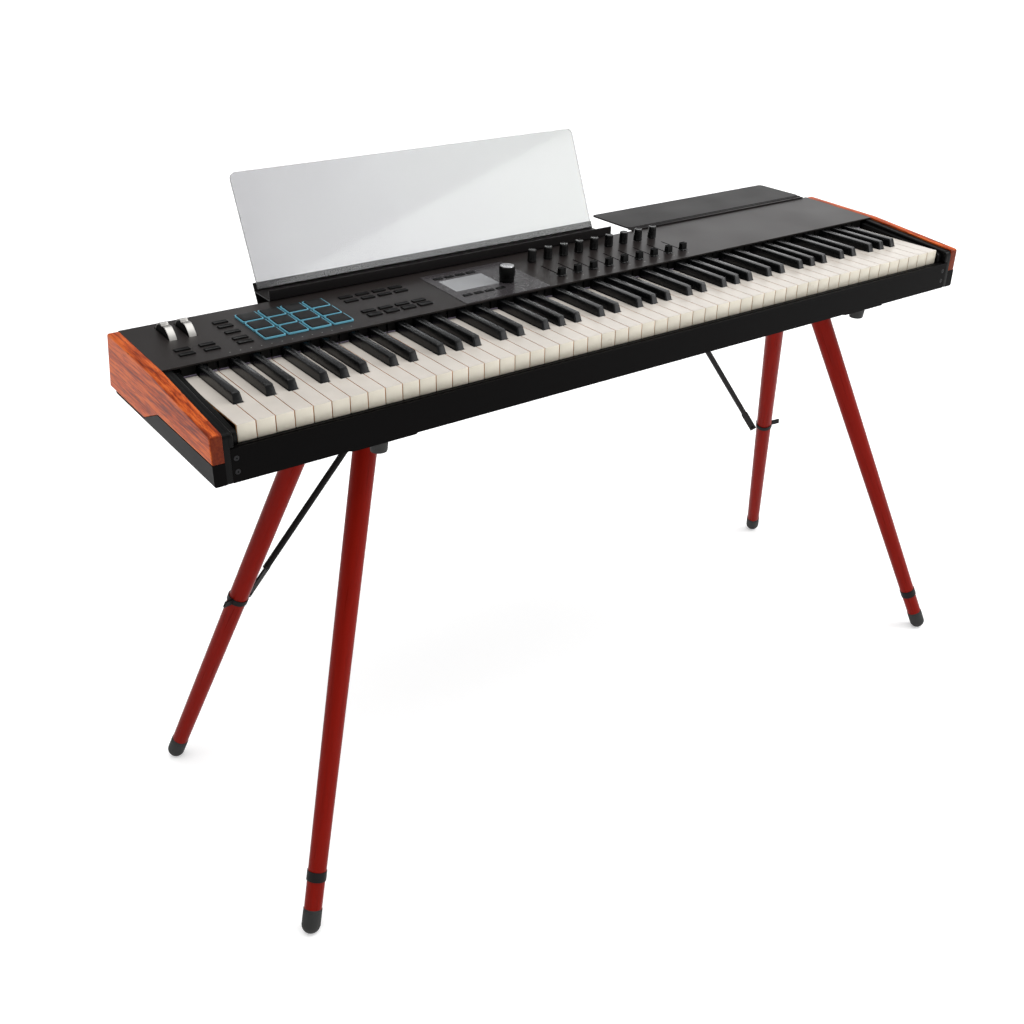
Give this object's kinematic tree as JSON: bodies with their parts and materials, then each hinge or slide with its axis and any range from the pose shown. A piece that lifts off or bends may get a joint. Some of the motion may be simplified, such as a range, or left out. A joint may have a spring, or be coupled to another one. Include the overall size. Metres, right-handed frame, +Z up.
{
  "type": "midi keyboard",
  "caption": "Full-size weighted MIDI keyboard with wooden cheeks on slanted wooden legs, with pads, knobs, faders, a clear music rest and a shelf.",
  "frame": {"origin": "on the floor, under the middle of the box around the whole object", "axes": "+X along the keys from the lowest to the highest note, +Y from the player to the rear, +Z up"},
  "size_m": [1.2992, 0.5222, 0.8604],
  "materials": {
    "white_key": "satin moulded plastic",
    "black_key": "matt moulded plastic",
    "panel_paint": "fine textured dark grey powder coat",
    "case_paint": "satin black powder coat",
    "plate_plastic": "satin dark grey moulding",
    "screen_glass": "glossy display cover",
    "cheek_wood": "oiled open-grained hardwood",
    "leg_wood": "red-stained lacquered hardwood",
    "rubber": "matt rubber",
    "steel": "zinc-plated steel",
    "felt": "wool felt",
    "board": "solder-masked laminate and switch bodies",
    "control_plastic": "matt black moulding",
    "pad_rubber": "silicone rubber",
    "light_ring": "translucent light guide",
    "wheel_metal": "brushed tread",
    "cap_metal": "turned and polished",
    "acrylic": "clear cast acrylic",
    "socket_plastic": "black nylon"
  },
  "bodies": {
    "case": {"base_tray": "case_paint", "front_rail": "case_paint", "rear_panel": "case_paint", "top_panel": "panel_paint", "display_plate": "plate_plastic", "screen": "screen_glass", "wood_cheek_left": "cheek_wood", "wood_cheek_right": "cheek_wood", "end_blocks": "control_plastic", "keybed_frame": "steel", "key_pivot_rod": "steel", "key_felt": "felt", "nameboard_comb": "control_plastic", "circuit_boards": "board", "rear_sockets": "socket_plastic", "wheel_axle": "steel", "pad_frames": "light_ring", "case_screws": "steel", "front_legs": "leg_wood", "rear_legs": "leg_wood", "rubber_feet": "rubber", "leg_collars": "case_paint", "leg_braces": "case_paint", "leg_plates": "case_paint", "body_feet": "rubber"},
    "keys_c": {"keys_c": "white_key"},
    "keys_d": {"keys_d": "white_key"},
    "keys_e": {"keys_e": "white_key"},
    "keys_f": {"keys_f": "white_key"},
    "keys_g": {"keys_g": "white_key"},
    "keys_a": {"keys_a": "white_key"},
    "keys_b": {"keys_b": "white_key"},
    "keys_c_sharp": {"keys_c_sharp": "black_key"},
    "keys_d_sharp": {"keys_d_sharp": "black_key"},
    "keys_f_sharp": {"keys_f_sharp": "black_key"},
    "keys_g_sharp": {"keys_g_sharp": "black_key"},
    "keys_a_sharp": {"keys_a_sharp": "black_key"},
    "pitch_wheel": {"pitch_wheel": "wheel_metal"},
    "mod_wheel": {"mod_wheel": "wheel_metal"},
    "pads": {"pads": "pad_rubber"},
    "panel_buttons": {"panel_buttons": "control_plastic"},
    "display_buttons": {"display_buttons": "control_plastic"},
    "power_button": {"power_button": "control_plastic"},
    "encoder": {"encoder_knob": "control_plastic", "encoder_cap": "cap_metal"},
    "knob_1": {"knob_1": "control_plastic"},
    "knob_2": {"knob_2": "control_plastic"},
    "knob_3": {"knob_3": "control_plastic"},
    "knob_4": {"knob_4": "control_plastic"},
    "knob_5": {"knob_5": "control_plastic"},
    "knob_6": {"knob_6": "control_plastic"},
    "knob_7": {"knob_7": "control_plastic"},
    "knob_8": {"knob_8": "control_plastic"},
    "knob_9": {"knob_9": "control_plastic"},
    "faders_left": {"faders_left": "control_plastic"},
    "faders_middle": {"faders_middle": "control_plastic"},
    "faders_right": {"faders_right": "control_plastic"},
    "music_rest": {"music_rest_rail": "case_paint", "music_rest_sheet": "acrylic"},
    "shelf": {"shelf_plate": "case_paint"}
  },
  "joints": [
    {"name": "press_keys_c", "type": "hinge", "parent": "case", "child": "keys_c", "pos_m": [0, 0.07047, 0.68], "axis": [1, 0, 0], "range_deg": [0, 2.5], "stiffness_Nm_per_rad": 10, "springref_deg": -6.88},
    {"name": "press_keys_d", "type": "hinge", "parent": "case", "child": "keys_d", "pos_m": [0, 0.07047, 0.68], "axis": [1, 0, 0], "range_deg": [0, 2.5], "stiffness_Nm_per_rad": 10, "springref_deg": -6.88},
    {"name": "press_keys_e", "type": "hinge", "parent": "case", "child": "keys_e", "pos_m": [0, 0.07047, 0.68], "axis": [1, 0, 0], "range_deg": [0, 2.5], "stiffness_Nm_per_rad": 10, "springref_deg": -6.88},
    {"name": "press_keys_f", "type": "hinge", "parent": "case", "child": "keys_f", "pos_m": [0, 0.07047, 0.68], "axis": [1, 0, 0], "range_deg": [0, 2.5], "stiffness_Nm_per_rad": 10, "springref_deg": -6.88},
    {"name": "press_keys_g", "type": "hinge", "parent": "case", "child": "keys_g", "pos_m": [0, 0.07047, 0.68], "axis": [1, 0, 0], "range_deg": [0, 2.5], "stiffness_Nm_per_rad": 10, "springref_deg": -6.88},
    {"name": "press_keys_a", "type": "hinge", "parent": "case", "child": "keys_a", "pos_m": [0, 0.07047, 0.68], "axis": [1, 0, 0], "range_deg": [0, 2.5], "stiffness_Nm_per_rad": 10, "springref_deg": -6.88},
    {"name": "press_keys_b", "type": "hinge", "parent": "case", "child": "keys_b", "pos_m": [0, 0.07047, 0.68], "axis": [1, 0, 0], "range_deg": [0, 2.5], "stiffness_Nm_per_rad": 10, "springref_deg": -6.88},
    {"name": "press_keys_c_sharp", "type": "hinge", "parent": "case", "child": "keys_c_sharp", "pos_m": [0, 0.07047, 0.68], "axis": [1, 0, 0], "range_deg": [0, 2.5], "stiffness_Nm_per_rad": 6, "springref_deg": -6.88},
    {"name": "press_keys_d_sharp", "type": "hinge", "parent": "case", "child": "keys_d_sharp", "pos_m": [0, 0.07047, 0.68], "axis": [1, 0, 0], "range_deg": [0, 2.5], "stiffness_Nm_per_rad": 6, "springref_deg": -6.88},
    {"name": "press_keys_f_sharp", "type": "hinge", "parent": "case", "child": "keys_f_sharp", "pos_m": [0, 0.07047, 0.68], "axis": [1, 0, 0], "range_deg": [0, 2.5], "stiffness_Nm_per_rad": 6, "springref_deg": -6.88},
    {"name": "press_keys_g_sharp", "type": "hinge", "parent": "case", "child": "keys_g_sharp", "pos_m": [0, 0.07047, 0.68], "axis": [1, 0, 0], "range_deg": [0, 2.5], "stiffness_Nm_per_rad": 6, "springref_deg": -6.88},
    {"name": "press_keys_a_sharp", "type": "hinge", "parent": "case", "child": "keys_a_sharp", "pos_m": [0, 0.07047, 0.68], "axis": [1, 0, 0], "range_deg": [0, 2.5], "stiffness_Nm_per_rad": 6, "springref_deg": -6.88},
    {"name": "turn_pitch_wheel", "type": "hinge", "parent": "case", "child": "pitch_wheel", "pos_m": [-0.586, 0.11481, 0.69351], "axis": [1, 0, 0], "range_deg": [-28, 28], "stiffness_Nm_per_rad": 0.12},
    {"name": "turn_mod_wheel", "type": "hinge", "parent": "case", "child": "mod_wheel", "pos_m": [-0.5603, 0.11481, 0.69351], "axis": [-1, 0, 0], "range_deg": [-20, 35]},
    {"name": "press_pads", "type": "slide", "parent": "case", "child": "pads", "axis": [0, 0.0304, -0.9995], "range_m": [0, 0.0006], "stiffness_N_per_m": 9000, "springref_m": -0.0005},
    {"name": "press_panel_buttons", "type": "slide", "parent": "case", "child": "panel_buttons", "axis": [0, 0.0304, -0.9995], "range_m": [0, 0.0008], "stiffness_N_per_m": 2500, "springref_m": -0.0008},
    {"name": "press_display_buttons", "type": "slide", "parent": "case", "child": "display_buttons", "axis": [0, 0.0304, -0.9995], "range_m": [0, 0.0008], "stiffness_N_per_m": 1500, "springref_m": -0.0005},
    {"name": "press_power_button", "type": "slide", "parent": "case", "child": "power_button", "axis": [0, -0.9603, -0.2789], "range_m": [0, 0.0015], "stiffness_N_per_m": 400, "springref_m": -0.0005},
    {"name": "turn_encoder", "type": "hinge", "parent": "case", "child": "encoder", "pos_m": [-0.102, 0.05565, 0.70572], "axis": [0, -0.0304, 0.9995], "continuous": true},
    {"name": "turn_knob_1", "type": "hinge", "parent": "case", "child": "knob_1", "pos_m": [-0.0178, 0.10942, 0.70736], "axis": [0, -0.0304, 0.9995], "continuous": true},
    {"name": "turn_knob_2", "type": "hinge", "parent": "case", "child": "knob_2", "pos_m": [0.0121, 0.10942, 0.70736], "axis": [0, -0.0304, 0.9995], "continuous": true},
    {"name": "turn_knob_3", "type": "hinge", "parent": "case", "child": "knob_3", "pos_m": [0.042, 0.10942, 0.70736], "axis": [0, -0.0304, 0.9995], "continuous": true},
    {"name": "turn_knob_4", "type": "hinge", "parent": "case", "child": "knob_4", "pos_m": [0.0719, 0.10942, 0.70736], "axis": [0, -0.0304, 0.9995], "continuous": true},
    {"name": "turn_knob_5", "type": "hinge", "parent": "case", "child": "knob_5", "pos_m": [0.1018, 0.10942, 0.70736], "axis": [0, -0.0304, 0.9995], "continuous": true},
    {"name": "turn_knob_6", "type": "hinge", "parent": "case", "child": "knob_6", "pos_m": [0.1317, 0.10942, 0.70736], "axis": [0, -0.0304, 0.9995], "continuous": true},
    {"name": "turn_knob_7", "type": "hinge", "parent": "case", "child": "knob_7", "pos_m": [0.1616, 0.10942, 0.70736], "axis": [0, -0.0304, 0.9995], "continuous": true},
    {"name": "turn_knob_8", "type": "hinge", "parent": "case", "child": "knob_8", "pos_m": [0.1915, 0.10942, 0.70736], "axis": [0, -0.0304, 0.9995], "continuous": true},
    {"name": "turn_knob_9", "type": "hinge", "parent": "case", "child": "knob_9", "pos_m": [0.2214, 0.10942, 0.70736], "axis": [0, -0.0304, 0.9995], "continuous": true},
    {"name": "slide_faders_left", "type": "slide", "parent": "case", "child": "faders_left", "axis": [0, 0.9995, 0.0304], "range_m": [0, 0.045]},
    {"name": "slide_faders_middle", "type": "slide", "parent": "case", "child": "faders_middle", "axis": [0, 0.9995, 0.0304], "range_m": [0, 0.045]},
    {"name": "slide_faders_right", "type": "slide", "parent": "case", "child": "faders_right", "axis": [0, 0.9995, 0.0304], "range_m": [0, 0.045]},
    {"name": "lift_music_rest", "type": "slide", "parent": "case", "child": "music_rest", "axis": [0, 0, 1], "range_m": [0, 0.15]},
    {"name": "lift_shelf", "type": "slide", "parent": "case", "child": "shelf", "axis": [0, 0, 1], "range_m": [0, 0.15]}
  ]
}
